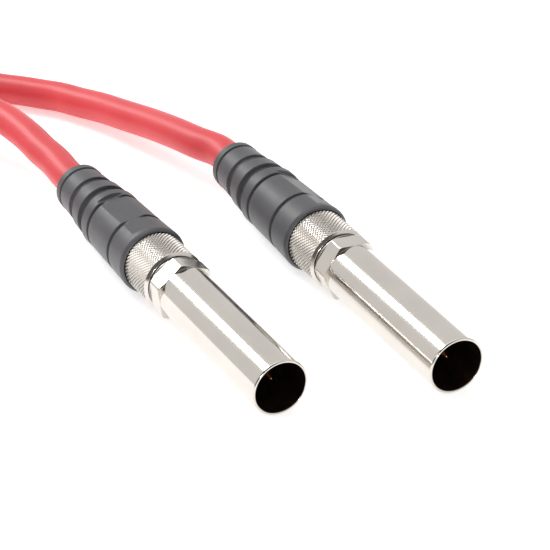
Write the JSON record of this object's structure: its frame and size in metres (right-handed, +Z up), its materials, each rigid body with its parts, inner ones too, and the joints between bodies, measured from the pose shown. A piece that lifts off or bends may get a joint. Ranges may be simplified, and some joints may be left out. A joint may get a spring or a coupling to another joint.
{
  "type": "coaxial patch cord",
  "caption": "Short coaxial cord with a straight screw-barrel plug and a rubber boot on each end, its spare length wound in a tied coil.",
  "frame": {"origin": "centre of the box around the pair of plugs, on the surface they lie on", "axes": "+Z up; both plugs lie along Y with their open mouths towards -Y and the cable leaving towards +Y"},
  "size_m": [0.0977, 0.2073, 0.0141],
  "materials": {
    "nickel": "bright nickel plate",
    "washer_steel": "plain",
    "gold": "gold plate",
    "copper": "bare copper",
    "boot_rubber": "satin",
    "jacket": "satin flexible jacket",
    "white_insulator": "waxy",
    "dark_insulator": "matt",
    "tie": "woven hook-and-loop strap"
  },
  "bodies": {
    "cord": {"plug_body_a": "nickel", "front_insulator_a": "dark_insulator", "rear_insulator_a": "white_insulator", "centre_pin_a": "gold", "centre_conductor_a": "copper", "dielectric_a": "white_insulator", "braid_a": "copper", "crimp_ferrule_a": "washer_steel", "cable_a": "jacket", "plug_body_b": "nickel", "front_insulator_b": "dark_insulator", "rear_insulator_b": "white_insulator", "centre_pin_b": "gold", "centre_conductor_b": "copper", "dielectric_b": "white_insulator", "braid_b": "copper", "crimp_ferrule_b": "washer_steel", "cable_b": "jacket", "cable_coil": "jacket", "coil_tie_1": "tie", "coil_tie_2": "tie"},
    "washer_a": {"lock_washer_a": "washer_steel"},
    "barrel_a": {"barrel_a": "nickel"},
    "boot_a": {"boot_a": "boot_rubber"},
    "washer_b": {"lock_washer_b": "washer_steel"},
    "barrel_b": {"barrel_b": "nickel"},
    "boot_b": {"boot_b": "boot_rubber"}
  },
  "joints": [
    {"name": "advance_a", "type": "slide", "parent": "cord", "child": "washer_a", "axis": [0.0122, -0.9995, -0.0306], "range_m": [0, 0.006]},
    {"name": "unscrew_a", "type": "hinge", "parent": "washer_a", "child": "barrel_a", "pos_m": [-0.0121, -0.03175, 0.0048], "axis": [0.0122, -0.9995, -0.0306], "range_deg": [0, 2170]},
    {"name": "boot_slide_a", "type": "slide", "parent": "cord", "child": "boot_a", "axis": [-0.0122, 0.9995, 0.0306], "range_m": [0, 0.006]},
    {"name": "advance_b", "type": "slide", "parent": "cord", "child": "washer_b", "axis": [-0.0122, -0.9995, -0.0306], "range_m": [0, 0.006]},
    {"name": "unscrew_b", "type": "hinge", "parent": "washer_b", "child": "barrel_b", "pos_m": [0.0121, -0.04365, 0.0048], "axis": [-0.0122, -0.9995, -0.0306], "range_deg": [0, 2170]},
    {"name": "boot_slide_b", "type": "slide", "parent": "cord", "child": "boot_b", "axis": [0.0122, 0.9995, 0.0306], "range_m": [0, 0.006]}
  ],
  "couplings": [
    {"joint": "unscrew_a", "follows": "advance_a", "rad_per_m": 6283.2},
    {"joint": "unscrew_b", "follows": "advance_b", "rad_per_m": 6283.2}
  ]
}
